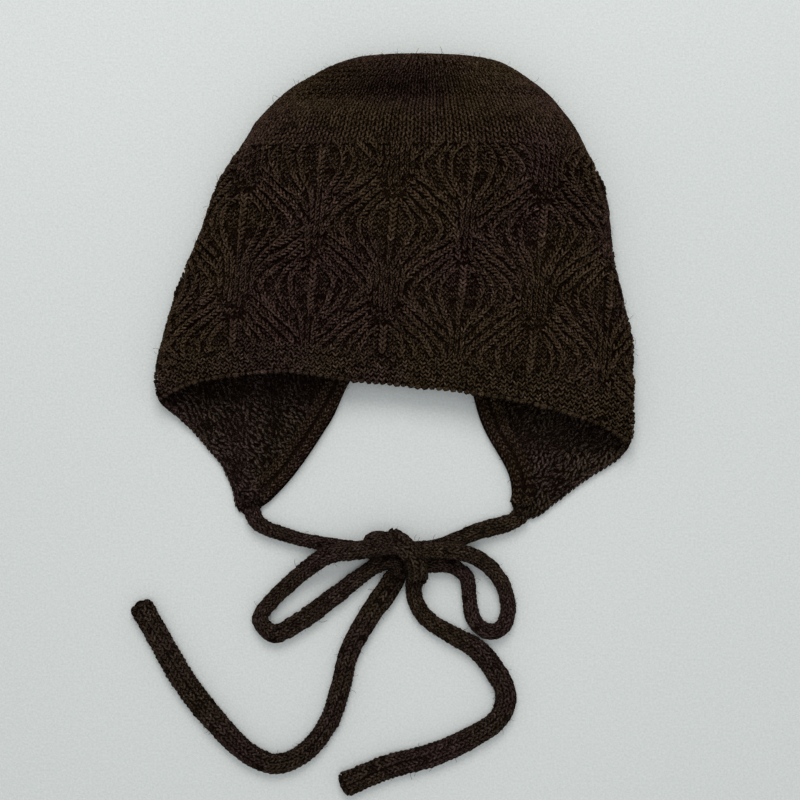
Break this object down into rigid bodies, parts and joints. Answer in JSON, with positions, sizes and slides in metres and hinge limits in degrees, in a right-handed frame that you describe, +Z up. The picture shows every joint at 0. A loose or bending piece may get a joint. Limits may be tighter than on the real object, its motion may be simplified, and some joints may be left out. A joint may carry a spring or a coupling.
{
  "type": "knitted ear-flap hat",
  "caption": "Child's dark brown wool knitted hat with a plain crown, lace diamond body, picot hem, ear flaps and knitted cord ties in a bow, lying flat.",
  "frame": {"origin": "centre of the hat's outline, without its ties, on the surface it lies on", "axes": "+X to the right and +Y towards the crown as the hat is seen from above, +Z up from the surface"},
  "size_m": [0.2101, 0.3088, 0.0252],
  "materials": {
    "crown_knit": "matt wool in plain stocking stitch",
    "lace_knit": "matt wool in lace stitch",
    "hem_knit": "matt wool in folded stocking stitch",
    "flap_knit": "matt wool, reverse side",
    "tie_knit": "matt wool knitted cord"
  },
  "bodies": {
    "root": {"crown": "crown_knit", "lace_body": "lace_knit", "front_hem_band": "hem_knit", "left_ear_flap": "flap_knit", "right_ear_flap": "flap_knit", "nape_hem": "hem_knit", "left_tie_lead": "tie_knit", "left_tie_loop": "tie_knit", "left_tie_tail": "tie_knit", "right_tie_lead": "tie_knit", "right_tie_loop": "tie_knit", "right_tie_tail": "tie_knit", "bow_knot": "tie_knit"}
  },
  "joints": []
}
